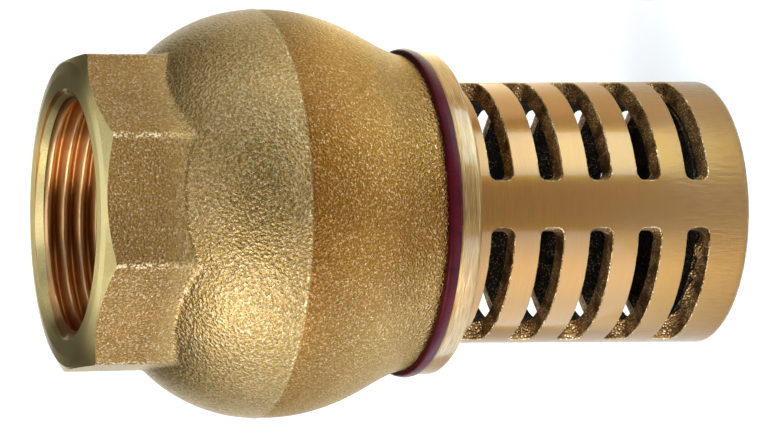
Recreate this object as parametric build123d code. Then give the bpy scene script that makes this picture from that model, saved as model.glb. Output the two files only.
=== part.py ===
from build123d import *
import math
import os

os.makedirs("parts", exist_ok=True)

# Foot valve for a one inch suction pipe: a spring check valve with a slotted strainer.
# Lengths are millimetres and angles are degrees. Z is the valve's axis and the way the
# water flows. The strainer's closed end stands on Z = 0 and the pipe port faces +Z.

# --- Strainer: slotted cup, flange and threaded spigot, one brass piece ---
basket_length = 40.05
basket_end_radius = 18.15
basket_top_radius = 17.75
basket_edge_chamfer = 0.5
basket_top_wall = 1.25
basket_end_wall = 2.6
cavity_floor_fillet = 1.6
end_thickness = 5.1
slot_rows = 5
slot_columns = 4
slot_pitch = 7.0
slot_width = 3.3
slot_corner_radius = 1.1
first_slot_z = 7.4
rib_angle = 20.6
strainer_clocking = -1.5
flange_radius = 21.55
flange_thickness = 2.7
flange_chamfer = 0.6
flange_root_fillet = 0.5
throat_cone_length = 4.0
seat_bore_radius = 13.5
seat_lip_width = 1.2
seat_lip_height = 0.8
spigot_length = 11.2

# --- Thread between strainer and body: 38 mm fine thread, 1.5 mm pitch ---
neck_thread_major_radius = 19.0
neck_thread_pitch = 1.5
neck_thread_depth = 0.81
neck_thread_flat = 0.19
neck_thread_length = 8.2
neck_thread_inset = 0.8
thread_clearance = 0.1

# --- Gasket between the body's rim and the strainer's flange ---
gasket_thickness = 1.75
gasket_outer_radius = 22.6
gasket_edge_radius = 0.8
gasket_bore_clearance = 0.3

# --- Body: brass casting with a bulb, a neck and an octagonal pipe port ---
body_length = 46.3
rim_radius = 21.5
rim_chamfer = 0.3
bulb_radius = 27.65
neck_land = 0.39
bulb_parting_step = 0.12
shoulder_arc_radius = 21.1
neck_blend_radius = 6.4
body_wall = 3.2
chamber_roof_rise = 7.6
chamber_roof_fillet = 3.0
octagon_across_flats = 41.0
octagon_sides = 8
octagon_edge_radius = 0.6
face_ring_radius = 18.75
face_bevel_radius = 20.2
face_bevel_drop = 0.28
face_chamfer_radius = 22.14
face_chamfer_drop = 1.53

# --- Pipe port: G1 parallel pipe thread, 11 threads to the inch ---
inch = 25.4
port_pitch = inch / 11
port_major_radius = 33.249 / 2
port_minor_radius = 30.291 / 2
port_thread_flat = 0.385
port_lead_in = 1.5
passage_radius = 14.0
passage_length = 3.0

# --- Guide spider pressed into the body's passage, below the pipe port ---
spider_ribs = 3
spider_rib_width = 3.0
spider_press_clearance = 0.02
hub_radius = 5.4
hub_length = 5.05
hub_top_drop = 1.3
spring_seat_depth = 4.0
spring_seat_radius = 8.0
spring_seat_thickness = 1.6
bush_wall = 1.25
bush_press_clearance = 0.02
bush_flange_thickness = 1.0
stem_running_clearance = 0.06

# --- Poppet: disc, stem, rubber washer, retainer, lock washer and nut ---
disc_radius = 16.8
disc_thickness = 3.4
disc_edge_chamfer = 0.5
seal_thickness = 2.3
seal_pocket_depth = 1.5
seal_radius = 15.6
seal_pocket_clearance = 0.1
boss_radius = 5.9
boss_height = 2.5
stem_radius = 3.0
shank_radius = 2.5
shank_clearance = 0.05
stem_end_chamfer = 0.5
stem_rise_above_bush = 0.2
shank_thread_end = 1.05
retainer_radius = 11.8
retainer_thickness = 1.5
retainer_chamfer = 0.4
lock_washer_radius = 4.6
lock_washer_thickness = 1.2
lock_washer_split = 0.8
nut_across_flats = 8.0
nut_thickness = 4.0
nut_chamfer_angle = 30.0

# --- Closing spring ---
spring_wire_radius = 0.45
spring_mean_radius = 7.0
spring_turns = 4.5
spring_end_gap = 0.2

# Radii that follow from the sizes above
cavity_top_radius = basket_top_radius - basket_top_wall
cavity_floor_radius = basket_end_radius - basket_end_wall
neck_thread_minor_radius = neck_thread_major_radius - neck_thread_depth
lower_bulb_radius = bulb_radius - bulb_parting_step
bush_bore_radius = stem_radius + stem_running_clearance
bush_radius = bush_bore_radius + bush_wall
shank_bore_radius = shank_radius + shank_clearance
gasket_bore_radius = neck_thread_major_radius + gasket_bore_clearance

# Heights that follow from the sizes above, from the closed end upwards
flange_bottom_z = basket_length
flange_top_z = flange_bottom_z + flange_thickness
rim_z = flange_top_z + gasket_thickness
face_z = rim_z + body_length
neck_blend_z = rim_z + neck_land
blend_reach = lower_bulb_radius + neck_blend_radius
bulb_z = neck_blend_z + math.sqrt(blend_reach**2 - (rim_radius + neck_blend_radius) ** 2)
neck_corner_z = bulb_z - math.sqrt(lower_bulb_radius**2 - rim_radius**2)
neck_thread_bottom_z = rim_z + neck_thread_inset
neck_thread_top_z = neck_thread_bottom_z + neck_thread_length
spigot_top_z = flange_top_z + spigot_length
seat_z = spigot_top_z + seat_lip_height
disc_rim_z = seat_z + seal_thickness - seal_pocket_depth
disc_top_z = disc_rim_z + disc_thickness
boss_top_z = disc_top_z + boss_height
retainer_bottom_z = seat_z - retainer_thickness
lock_washer_bottom_z = retainer_bottom_z - lock_washer_thickness
nut_bottom_z = lock_washer_bottom_z - nut_thickness
shank_bottom_z = nut_bottom_z - shank_thread_end
chamber_roof_z = bulb_z + chamber_roof_rise
port_thread_bottom_z = chamber_roof_z + passage_length
spring_seat_z = port_thread_bottom_z - spring_seat_depth
hub_top_z = port_thread_bottom_z - hub_top_drop
hub_bottom_z = hub_top_z - hub_length
bush_top_z = hub_top_z + bush_flange_thickness
stem_top_z = bush_top_z + stem_rise_above_bush

# Tools reach this far past the faces they cut through
overcut = 1.0


def turned(points):
    """Solid turned about Z from (radius, height) points."""
    outline = Polyline(*points, close=True)
    return revolve(Plane.XZ * make_face(outline), Axis.Z)


def disc_between(radius, bottom_z, top_z):
    """Cylinder on the Z axis between two heights."""
    return Pos(0, 0, bottom_z) * extrude(Circle(radius), top_z - bottom_z)


def ringed_core(minor_radius, major_radius, pitch, flat, bottom_z, top_z):
    """Core at a thread's minor radius with one ridge to a pitch, ending at top_z."""
    ridges = int((top_z - bottom_z) / pitch)
    half_foot = (pitch - flat) / 2
    points = [(0, bottom_z), (minor_radius, bottom_z)]
    for ridge in range(ridges, 0, -1):
        middle_z = top_z - (ridge - 0.5) * pitch
        points.append((minor_radius, middle_z - half_foot))
        points.append((major_radius, middle_z - flat / 2))
        points.append((major_radius, middle_z + flat / 2))
        points.append((minor_radius, middle_z + half_foot))
    points.append((minor_radius, top_z))
    points.append((0, top_z))
    return turned(points)


def neck_thread(clearance):
    """Ridged core of the neck thread, drawn in by a clearance for the male side."""
    return ringed_core(
        neck_thread_minor_radius - clearance,
        neck_thread_major_radius - clearance,
        neck_thread_pitch,
        neck_thread_flat,
        neck_thread_bottom_z,
        neck_thread_top_z,
    )


def bulb_section(inset):
    """Half section of the bulb in radius and height: a sphere below the equator and a
    slimmer arc above it, both drawn in by the inset."""
    sphere_radius = lower_bulb_radius - inset
    arc_radius = shoulder_arc_radius - inset
    arc_centre = bulb_radius - shoulder_arc_radius
    lower_half = Pos(0, bulb_z) * Rectangle(
        sphere_radius, sphere_radius, align=(Align.MIN, Align.MAX)
    )
    upper_half = Pos(arc_centre, bulb_z) * Rectangle(
        arc_radius, arc_radius, align=(Align.MIN, Align.MIN)
    )
    core = Pos(0, bulb_z) * Rectangle(arc_centre, arc_radius, align=(Align.MIN, Align.MIN))
    sphere = Pos(0, bulb_z) * Circle(sphere_radius) & lower_half
    shoulder = Pos(arc_centre, bulb_z) * Circle(arc_radius) & upper_half
    return sphere + shoulder + core


def body_outside():
    """Bulb, neck and octagonal port before any machining."""
    above_rim = Pos(0, rim_z) * Rectangle(
        bulb_radius, body_length, align=(Align.MIN, Align.MIN)
    )
    neck = Pos(0, rim_z) * Rectangle(
        rim_radius, bulb_z - rim_z, align=(Align.MIN, Align.MIN)
    )
    section = (bulb_section(0) & above_rim) + neck
    corner = section.vertices().sort_by_distance((rim_radius, neck_corner_z, 0))[0]
    section = fillet(corner, neck_blend_radius)
    octagon = RegularPolygon(
        octagon_across_flats / 2, octagon_sides, major_radius=False,
        rotation=180 / octagon_sides,
    )
    octagon = fillet(octagon.vertices(), octagon_edge_radius)
    port = Pos(0, 0, bulb_z) * extrude(octagon, face_z - bulb_z)
    return revolve(Plane.XZ * section, Axis.Z) + port


def port_face_tool():
    """Material turned away at the port's face: a slight bevel, then a wide chamfer."""
    chamfer_slope = (face_chamfer_drop - face_bevel_drop) / (
        face_chamfer_radius - face_bevel_radius
    )
    outer_radius = octagon_across_flats
    outer_drop = face_bevel_drop + chamfer_slope * (outer_radius - face_bevel_radius)
    return turned([
        (face_ring_radius, face_z),
        (face_bevel_radius, face_z - face_bevel_drop),
        (outer_radius, face_z - outer_drop),
        (outer_radius, face_z + overcut),
        (face_ring_radius, face_z + overcut),
    ])


def port_tool():
    """Pipe thread with its lead-in, and the plain passage below it."""
    thread = ringed_core(
        port_minor_radius,
        port_major_radius,
        port_pitch,
        port_thread_flat,
        port_thread_bottom_z,
        face_z,
    )
    mouth_radius = port_minor_radius + port_lead_in
    lead_in = turned([
        (0, face_z - port_lead_in),
        (port_minor_radius, face_z - port_lead_in),
        (mouth_radius, face_z),
        (mouth_radius, face_z + overcut),
        (0, face_z + overcut),
    ])
    passage = disc_between(passage_radius, chamber_roof_z - overcut, port_thread_bottom_z)
    return thread + lead_in + passage


def chamber_tool():
    """Hollow of the bulb, one wall inside it, between the neck thread and the roof."""
    height = chamber_roof_z - neck_thread_top_z
    window = Pos(0, neck_thread_top_z) * Rectangle(
        bulb_radius, height, align=(Align.MIN, Align.MIN)
    )
    section = bulb_section(body_wall) & window
    roof_corner = section.vertices().sort_by(Axis.Y)[-2:].sort_by(Axis.X)[-1]
    section = fillet(roof_corner, chamber_roof_fillet)
    return revolve(Plane.XZ * section, Axis.Z)


def neck_tool():
    """Neck thread with a chamfered mouth at the rim."""
    mouth_radius = neck_thread_major_radius + thread_clearance
    mouth = turned([
        (0, rim_z - overcut),
        (mouth_radius, rim_z - overcut),
        (mouth_radius, rim_z),
        (neck_thread_minor_radius, neck_thread_bottom_z),
        (0, neck_thread_bottom_z),
    ])
    return neck_thread(0) + mouth


def make_guide_spider():
    """Hub with its spring seat, held in the passage by the ends of radial ribs."""
    hub = disc_between(hub_radius, hub_bottom_z, hub_top_z)
    spring_seat = disc_between(
        spring_seat_radius, spring_seat_z, spring_seat_z + spring_seat_thickness
    )
    spider = hub + spring_seat
    rib = Pos(0, 0, spring_seat_z) * Box(
        passage_radius,
        spider_rib_width,
        hub_top_z - spring_seat_z,
        align=(Align.MIN, Align.CENTER, Align.MIN),
    )
    reach = disc_between(passage_radius - spider_press_clearance, spring_seat_z, hub_top_z)
    rib = rib & reach
    for index in range(spider_ribs):
        spider += Rot(0, 0, 90 + 360 * index / spider_ribs) * rib
    bore_radius = bush_radius + bush_press_clearance
    return spider - disc_between(bore_radius, hub_bottom_z - overcut, hub_top_z + overcut)


def make_body():
    """Whole casting, machined."""
    body = body_outside() - port_face_tool() - port_tool() - chamber_tool() - neck_tool()
    rim_edge = body.edges().filter_by(GeomType.CIRCLE).group_by(Axis.Z)[0].sort_by(
        SortBy.RADIUS
    )[-1]
    return chamfer(rim_edge, rim_chamfer)


def strainer_outside():
    """Slotted cup, flange and threaded spigot as one turned blank."""
    cup = turned([
        (0, 0),
        (basket_end_radius - basket_edge_chamfer, 0),
        (basket_end_radius, basket_edge_chamfer),
        (basket_top_radius, flange_bottom_z - flange_root_fillet),
        (basket_top_radius + flange_root_fillet, flange_bottom_z),
        (flange_radius - flange_chamfer, flange_bottom_z),
        (flange_radius, flange_bottom_z + flange_chamfer),
        (flange_radius, flange_top_z),
        (neck_thread_minor_radius - thread_clearance, flange_top_z),
        (neck_thread_minor_radius - thread_clearance, neck_thread_bottom_z),
        (0, neck_thread_bottom_z),
    ])
    spigot_end = disc_between(
        neck_thread_minor_radius - thread_clearance, neck_thread_top_z, spigot_top_z
    )
    seat_lip = disc_between(seat_bore_radius + seat_lip_width, spigot_top_z, seat_z)
    return cup + neck_thread(thread_clearance) + spigot_end + seat_lip


def strainer_hollow():
    """Draughted cup, cone and seat bore inside the strainer."""
    outline = Polyline(
        (0, end_thickness),
        (cavity_floor_radius, end_thickness),
        (cavity_top_radius, flange_top_z - throat_cone_length),
        (seat_bore_radius, flange_top_z),
        (seat_bore_radius, seat_z + overcut),
        (0, seat_z + overcut),
        close=True,
    )
    section = make_face(outline)
    floor_corner = section.vertices().sort_by_distance(
        (cavity_floor_radius, end_thickness, 0)
    )[0]
    section = fillet(floor_corner, cavity_floor_fillet)
    return revolve(Plane.XZ * section, Axis.Z)


def slot_tools():
    """Every slot of the strainer, with rounded corners, as separate cutters."""
    slot_angle = 360 / slot_columns - rib_angle
    section = Pos(cavity_floor_radius - 2 * overcut, 0) * Rectangle(
        basket_end_radius - cavity_floor_radius + 4 * overcut,
        slot_width,
        align=(Align.MIN, Align.CENTER),
    )
    slot = revolve(Plane.XZ * section, Axis.Z, slot_angle)
    radial_edges = [
        edge
        for edge in slot.edges().filter_by(GeomType.LINE)
        if abs(edge.position_at(1).Z - edge.position_at(0).Z) < slot_width / 2
    ]
    slot = fillet(radial_edges, slot_corner_radius)
    tools = []
    for column in range(slot_columns):
        turn = rib_angle / 2 + 360 * column / slot_columns + strainer_clocking
        for row in range(slot_rows):
            tools.append(Pos(0, 0, first_slot_z + row * slot_pitch) * Rot(0, 0, turn) * slot)
    return tools


def make_strainer():
    """Strainer blank, hollowed and slotted."""
    return strainer_outside() - strainer_hollow() - slot_tools()


def make_gasket():
    """Flat ring with a rounded outer edge."""
    width = gasket_outer_radius - gasket_bore_radius
    section = Pos(gasket_bore_radius, flange_top_z) * Rectangle(
        width, gasket_thickness, align=(Align.MIN, Align.MIN)
    )
    outer_corners = section.vertices().sort_by(Axis.X)[-2:]
    section = fillet(outer_corners, gasket_edge_radius)
    return revolve(Plane.XZ * section, Axis.Z)


def make_guide_bush():
    """Flanged plain bearing for the stem."""
    tube = disc_between(bush_radius, hub_bottom_z, hub_top_z)
    collar = disc_between(hub_radius, hub_top_z, bush_top_z)
    bore = disc_between(bush_bore_radius, hub_bottom_z - overcut, bush_top_z + overcut)
    return tube + collar - bore


def make_poppet_disc():
    """Valve disc with a pocket for the rubber washer and a boss that centres the spring."""
    plate = turned([
        (0, disc_rim_z),
        (disc_radius, disc_rim_z),
        (disc_radius, disc_top_z - disc_edge_chamfer),
        (disc_radius - disc_edge_chamfer, disc_top_z),
        (boss_radius, disc_top_z),
        (boss_radius, boss_top_z),
        (0, boss_top_z),
    ])
    pocket = disc_between(
        seal_radius + seal_pocket_clearance,
        disc_rim_z - overcut,
        disc_rim_z + seal_pocket_depth,
    )
    bore = disc_between(shank_bore_radius, disc_rim_z, boss_top_z + overcut)
    return plate - pocket - bore


def make_poppet_stem():
    """Guide stem with a shoulder on the boss and a thinner threaded shank below it."""
    return turned([
        (0, shank_bottom_z),
        (shank_radius - stem_end_chamfer, shank_bottom_z),
        (shank_radius, shank_bottom_z + stem_end_chamfer),
        (shank_radius, boss_top_z),
        (stem_radius, boss_top_z),
        (stem_radius, stem_top_z - stem_end_chamfer),
        (stem_radius - stem_end_chamfer, stem_top_z),
        (0, stem_top_z),
    ])


def make_seat_seal():
    """Rubber washer that closes on the seat's lip."""
    top_z = seat_z + seal_thickness
    bore = disc_between(shank_bore_radius, seat_z - overcut, top_z + overcut)
    return disc_between(seal_radius, seat_z, top_z) - bore


def make_seal_retainer():
    """Washer that clamps the rubber washer to the disc."""
    plate = turned([
        (0, retainer_bottom_z),
        (retainer_radius - retainer_chamfer, retainer_bottom_z),
        (retainer_radius, retainer_bottom_z + retainer_chamfer),
        (retainer_radius, seat_z),
        (0, seat_z),
    ])
    return plate - disc_between(shank_bore_radius, retainer_bottom_z - overcut, seat_z + overcut)


def make_lock_washer():
    """Split spring washer, drawn closed up under the nut."""
    ring = disc_between(lock_washer_radius, lock_washer_bottom_z, retainer_bottom_z)
    bore = disc_between(
        shank_bore_radius, lock_washer_bottom_z - overcut, retainer_bottom_z + overcut
    )
    split = Pos(0, 0, lock_washer_bottom_z - overcut) * Box(
        lock_washer_radius + overcut,
        lock_washer_split,
        lock_washer_thickness + 2 * overcut,
        align=(Align.MIN, Align.CENTER, Align.MIN),
    )
    return ring - bore - split


def make_retainer_nut():
    """Hexagon nut with chamfered corners."""
    hexagon = RegularPolygon(nut_across_flats / 2, 6, major_radius=False)
    block = Pos(0, 0, nut_bottom_z) * extrude(hexagon, nut_thickness)
    rise = nut_across_flats / 2 * math.tan(math.radians(nut_chamfer_angle))
    cone_top_z = nut_bottom_z + rise
    corner_tool = turned([
        (nut_across_flats / 2, nut_bottom_z - overcut),
        (nut_across_flats / 2, nut_bottom_z),
        (nut_across_flats, cone_top_z),
        (nut_across_flats, nut_bottom_z - overcut),
    ])
    bore = disc_between(shank_bore_radius, nut_bottom_z - overcut, lock_washer_bottom_z + overcut)
    return block - corner_tool - bore


def make_poppet_spring():
    """Compression spring between the disc and the hub's spring seat."""
    end_clear = spring_wire_radius + spring_end_gap
    bottom_z = disc_top_z + end_clear
    rise = spring_seat_z - end_clear - bottom_z
    path = Pos(0, 0, bottom_z) * Helix(rise / spring_turns, rise, spring_mean_radius)
    wire = Plane(origin=path @ 0, z_dir=path % 0) * Circle(spring_wire_radius)
    return sweep(wire, path)


nodes = {
    "body": make_body(),
    "strainer": make_strainer(),
    "body_gasket": make_gasket(),
    "guide_spider": make_guide_spider(),
    "guide_bush": make_guide_bush(),
    "poppet_disc": make_poppet_disc(),
    "poppet_stem": make_poppet_stem(),
    "seat_seal": make_seat_seal(),
    "seal_retainer": make_seal_retainer(),
    "lock_washer": make_lock_washer(),
    "retainer_nut": make_retainer_nut(),
    "poppet_spring": make_poppet_spring(),
}

for name, shape in nodes.items():
    export_step(shape, f"parts/{name}.step")
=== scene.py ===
import math

import bmesh
import bpy
from mathutils import Matrix, Vector, noise


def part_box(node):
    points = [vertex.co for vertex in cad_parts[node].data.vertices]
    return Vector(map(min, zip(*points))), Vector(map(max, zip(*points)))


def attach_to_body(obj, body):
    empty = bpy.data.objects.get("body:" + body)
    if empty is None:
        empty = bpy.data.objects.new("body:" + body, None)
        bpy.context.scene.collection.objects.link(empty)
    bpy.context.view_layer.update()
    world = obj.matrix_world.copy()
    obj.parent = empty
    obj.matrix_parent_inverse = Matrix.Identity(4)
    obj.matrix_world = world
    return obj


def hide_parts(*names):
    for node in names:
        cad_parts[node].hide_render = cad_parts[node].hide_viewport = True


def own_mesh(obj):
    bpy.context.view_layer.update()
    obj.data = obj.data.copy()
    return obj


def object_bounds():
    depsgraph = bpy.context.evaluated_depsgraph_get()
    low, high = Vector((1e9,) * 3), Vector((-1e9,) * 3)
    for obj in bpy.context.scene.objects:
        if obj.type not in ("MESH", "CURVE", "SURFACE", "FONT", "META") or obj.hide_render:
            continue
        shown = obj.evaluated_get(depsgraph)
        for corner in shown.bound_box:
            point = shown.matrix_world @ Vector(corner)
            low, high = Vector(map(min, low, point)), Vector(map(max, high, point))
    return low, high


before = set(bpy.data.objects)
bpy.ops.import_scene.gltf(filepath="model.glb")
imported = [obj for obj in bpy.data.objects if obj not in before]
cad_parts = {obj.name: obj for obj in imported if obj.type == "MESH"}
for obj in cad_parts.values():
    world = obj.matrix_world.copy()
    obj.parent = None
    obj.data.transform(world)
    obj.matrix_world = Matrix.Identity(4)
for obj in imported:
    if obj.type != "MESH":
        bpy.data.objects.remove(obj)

# The visible foot valve, in metres, in the CAD model's frame: the strainer's closed end
# stands on Z = 0 and the pipe port faces +Z. Heights come from the CAD nodes' boxes.

MM = 0.001
CAD_LOW, CAD_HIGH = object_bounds()
BODY_LOW, BODY_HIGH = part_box("body")
GASKET_LOW, GASKET_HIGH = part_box("body_gasket")
SPRING_LOW, SPRING_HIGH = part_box("poppet_spring")
HOUSING = "housing"

# --- Heights read from the frame ---
FACE_Z = BODY_HIGH.z
RIM_Z = BODY_LOW.z
FLANGE_TOP_Z = GASKET_LOW.z
SEAT_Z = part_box("strainer")[1].z

# --- Mesh fineness ---
BODY_SEGMENTS = 512
THREAD_SEGMENTS = 256
TURNED_SEGMENTS = 256
HUB_SEGMENTS = 128
CASTING_STEP = 0.25 * MM
CHAMFER_ROWS = 8
FACE_ROWS = 4
CHAMBER_ROWS = 30
THREAD_STEPS = 20
RIB_STEPS = 12

# --- Body casting ---
BULB_RADIUS = BODY_HIGH.x
BULB_Z = RIM_Z + 19.7 * MM
RIM_RADIUS = 21.5 * MM
RIM_EDGE = 0.3 * MM
SHOULDER_ARC = 21.1 * MM
NECK_FILLET = 2.88 * MM
BODY_WALL = 3.2 * MM
ROOF_FILLET = 3.0 * MM
OCTAGON_APOTHEM = 20.5 * MM
OCTAGON_SIDES = 8
OCTAGON_Z = BULB_Z + 16 * MM
OCTAGON_TOP_Z = FACE_Z - 3 * MM
OCTAGON_SHARPNESS = 110
OCTAGON_WEAR_AND_HIGHLIGHT = 0.034      # half the width of an edge's pale band, partly wear and partly painted highlight, as a share of a side
CAST_FILLET = 0.30 * MM
CAST_WAVE = 0.09 * MM
CAST_WAVE_SIZE = 7.0 * MM

# --- The mould's parting line: the skin drops in below it and has a lip above it ---
PARTING_Z = BULB_Z + 0.9 * MM
PARTING_STEP = 0.12 * MM
PARTING_DROP = 0.16 * MM
PARTING_DROP_REACH = 1.1 * MM
PARTING_LIP = 0.07 * MM
PARTING_LIP_REACH = 0.35 * MM
PARTING_HALF_GAP = 0.02 * MM
PARTING_WANDER = 0.16 * MM
WANDER_WAVES = 4

# --- Turned end face of the port ---
FACE_RING_RADIUS = 18.75 * MM
FACE_BEVEL_RADIUS = 20.2 * MM
FACE_BEVEL_DROP = 0.28 * MM
FACE_CHAMFER_SLOPE = 1.25 / 1.94
FACE_EDGE = 0.12 * MM

# --- Pipe thread in the port ---
THREAD_PITCH = 25.4 / 11 * MM
THREAD_MAJOR = 33.249 / 2 * MM
THREAD_MINOR = 30.291 / 2 * MM
THREAD_LENGTH = 16.0 * MM
THREAD_LEAD_IN = 1.5 * MM
THREAD_FLAT = 0.14
THREAD_ROUNDING = 0.35
PASSAGE_RADIUS = 14.0 * MM
PASSAGE_LENGTH = 3.0 * MM

# --- Guide spider ---
HUB_RADIUS = 5.4 * MM
HUB_BORE = 4.33 * MM
HUB_TOP_DROP = 1.3 * MM
HUB_LOW_DROP = 2.15 * MM
HUB_EDGE = 0.25 * MM
SPIDER_RIBS = 3
SPIDER_RIB_WIDTH = 3.0 * MM
RIB_EDGE = 0.7 * MM
RIB_INTO_HUB = 0.4 * MM
RIB_INTO_WALL = 0.8 * MM
RIB_FLARE = 0.22
SPRING_SEAT_RADIUS = 8.0 * MM
SPRING_SEAT_THICKNESS = 1.6 * MM
SPRING_SEAT_DROP = 4.0 * MM
SPRING_SEAT_CONE = 0.4 * MM

# --- Neck thread ---
NECK_THREAD_RADIUS = 18.19 * MM
NECK_THREAD_LENGTH = 9.0 * MM
NECK_THREAD_CHAMFER = 0.8 * MM
NECK_THREAD_FLARE = 0.9 * MM
THREAD_CLEARANCE = 0.1 * MM

# --- Strainer cup ---
CUP_END_RADIUS = 18.15 * MM
CUP_TOP_RADIUS = 17.75 * MM
CUP_MEAN_RADIUS = (CUP_TOP_RADIUS + CUP_END_RADIUS) / 2
CUP_LENGTH = 40.05 * MM
CUP_EDGE = 0.5 * MM
CUP_ROOT = 0.5 * MM
CAVITY_TOP_RADIUS = 15.4 * MM
CAVITY_FLOOR_RADIUS = 15.3 * MM
CAVITY_FILLET = 1.6 * MM
END_THICKNESS = 5.1 * MM
THROAT_CONE = 4.0 * MM
AXIS_HOLE = 0.02 * MM
TURNED_EDGE = 0.15 * MM
BAND_EDGE = 0.2 * MM
TURNED_STEP = 0.6 * MM
CUP_STEP = 0.5 * MM

# --- Strainer slots; the drafts are given by column, and columns 0 and 1 are at the back ---
SLOT_ROWS = 5
SLOT_COLUMNS = 4
SLOT_PITCH = 7.0 * MM
SLOT_WIDTH = 3.3 * MM
SLOT_CORNER = 1.1 * MM
SLOT_DRAFTS = (0.50 * MM, 0.50 * MM, 0.20 * MM, 0.42 * MM)
SLOT_END_DRAFTS = (2.6 * MM, 2.6 * MM, 0.8 * MM, 0.8 * MM)
SLOT_EDGE = 0.13 * MM
SLOT_ROUGHNESS = 0.10 * MM
SLOT_EDGE_ROUGHNESS = 0.03 * MM
SLOT_LUMP = 0.5 * MM
FLASH_SLOT = (2, 0)
FLASH_SIZE = 1.4 * MM
FLASH_REACH = 0.8 * MM
FIRST_SLOT_Z = 7.4 * MM
RIB_ANGLE = math.radians(20.6)
CLOCKING = math.radians(-1.5)
TILE_LEVELS = 6
TILE_DEPTHS = 7
LONG_STEPS = 44
SHORT_STEPS = 4
CORNER_STEPS = 8
WELD_DISTANCE = 0.002 * MM

# --- Strainer flange, spigot and seat ---
FLANGE_RADIUS = 21.95 * MM
FLANGE_LOW_Z = CUP_LENGTH - 0.3 * MM
FLANGE_CHAMFER = 0.55 * MM
SPIGOT_RADIUS = NECK_THREAD_RADIUS - THREAD_CLEARANCE
SEAT_BORE = 13.5 * MM
SEAT_LIP = 1.2 * MM
SEAT_LIP_HEIGHT = 0.8 * MM

# --- Gasket and closing spring ---
GASKET_BORE = 19.3 * MM
GASKET_INSET = 0.22 * MM
GASKET_CORNER = 0.42 * MM
GASKET_CROWN = 0.10 * MM
WIRE_RADIUS = 0.45 * MM
SPRING_TURNS = 5.5
CLOSED_TURNS = 1.0
CLOSED_RISE = 2.1 * WIRE_RADIUS
TURN_STEPS = 48
WIRE_SIDES = 12

# --- Colours in linear light; pairs run from a dark patch to a pale one ---
CAST_UPPER = ((0.262, 0.174, 0.056), (0.343, 0.223, 0.074))
# Painted shade: the octagon's flats are a darker brown than the bulb.
CAST_FLATS_SHADED = ((0.19, 0.101, 0.021), (0.25, 0.136, 0.031))
# Painted shade and light: below the parting line the tone is darker at front and back and paler
# at the sides.
CAST_LOWER_SHADED = ((0.154, 0.062, 0.008), (0.198, 0.085, 0.012))
CAST_LOWER_LIT_SIDES = ((0.198, 0.104, 0.028), (0.245, 0.132, 0.038))
# Painted highlight on the cast skin's crests, above and below the parting line.
CREST_HIGHLIGHT_UPPER = (0.62, 0.53, 0.41)
CREST_HIGHLIGHT_LOWER = (0.60, 0.39, 0.19)
# Painted shade in the cast skin's valleys.
VALLEY_SHADE = (0.095, 0.054, 0.014)
# Painted highlight: glint specks above the parting line; the tone below serves the specks under
# it.
GLINT_UPPER = (0.84, 0.71, 0.50)
# Pale tone for the glint specks below the parting line, which are painted highlight, and for the
# octagon's edges and the flash, which are partly wear and partly painted highlight.
CAST_WEAR_AND_GLINT = (0.84, 0.67, 0.40)
TURNED = ((0.19, 0.074, 0.003), (0.28, 0.118, 0.006))
TURNED_END = (0.235, 0.112, 0.018)
FLANGE = ((0.16, 0.066, 0.004), (0.42, 0.27, 0.095))
FACED = ((0.57, 0.475, 0.19), (0.75, 0.63, 0.275))
THREAD = ((0.57, 0.31, 0.115), (0.78, 0.47, 0.21))
# Painted shade in the port thread's grooves.
THREAD_ROOT_SHADE = (0.46, 0.18, 0.035)
SLOT_WALL = ((0.07, 0.032, 0.008), (0.34, 0.165, 0.045))
SLOT_GRAIN = (0.98, 0.76, 0.42)
# Painted shade: the strainer's inside is coloured nearly black.
CAVITY_SHADE = ((0.005, 0.004, 0.002), (0.03, 0.016, 0.006))
CAVITY_GRAIN = (0.60, 0.42, 0.18)
# Slot edges: partly wear, partly painted highlight.
WORN_EDGE_AND_HIGHLIGHT = ((0.24, 0.13, 0.04), (0.52, 0.37, 0.17))
WEAR_AND_HIGHLIGHT_GRAIN = (0.98, 0.86, 0.55)
RED_RUBBER = ((0.030, 0.0015, 0.004), (0.060, 0.003, 0.007))
BLACK_RUBBER = ((0.010, 0.010, 0.011), (0.035, 0.034, 0.033))
STAINLESS = ((0.46, 0.46, 0.47), (0.62, 0.62, 0.62))
ACETAL = ((0.68, 0.66, 0.60), (0.78, 0.77, 0.72))

# --- Vector scales that draw tool marks out along a turned surface ---
AROUND = (0.05, 0.05, 1.0)
ACROSS_FACE = (0.6, 0.6, 0.05)
ALONG_AXIS = (1, 1, 0.2)
AROUND_STEEL = (0.08, 0.08, 1)

# --- Camera: long lens, level with the valve's upper half, rolled so that +Z is left ---
CAMERA_ELEVATION = math.radians(18.84)
CAMERA_TURN = math.radians(5.0)
CAMERA_ROLL = math.radians(0.26)
CAMERA_DISTANCE = 0.5523
CAMERA_LENS = 190.6
CAMERA_SENSOR = 36
AIM_Z = 46.0 * MM
AIM_RIGHT = 0.14 * MM
AIM_UP = 0.33 * MM

# --- Stage ---
FLOOR_RADIUS = 3.0
FLOOR_GAP = 0.02 * MM
FLOOR_WHITE = (0.94, 0.94, 0.94)
FLOOR_LIFT = 0.19
STAGE_SEGMENTS = 64
BACKDROP_HEIGHT = 0.35
BACKDROP_WHITE = (0.93, 0.93, 0.93)
LAMP_GAP = 1 * MM
COOL = (0.85, 1.0, 1.20)
WORLD_STRENGTH = 0.05


# ---------------------------------------------------------------- mesh helpers

def ring(radius_of, height_of, count):
    """Closed loop of points about Z; both functions take the angle."""
    loop = []
    for step in range(count):
        angle = 2 * math.pi * step / count
        radius = radius_of(angle)
        loop.append((radius * math.cos(angle), radius * math.sin(angle), height_of(angle)))
    return loop


def circle(radius, height, count):
    """Round loop of points about Z."""
    return ring(lambda a: radius, lambda a: height, count)


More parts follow.
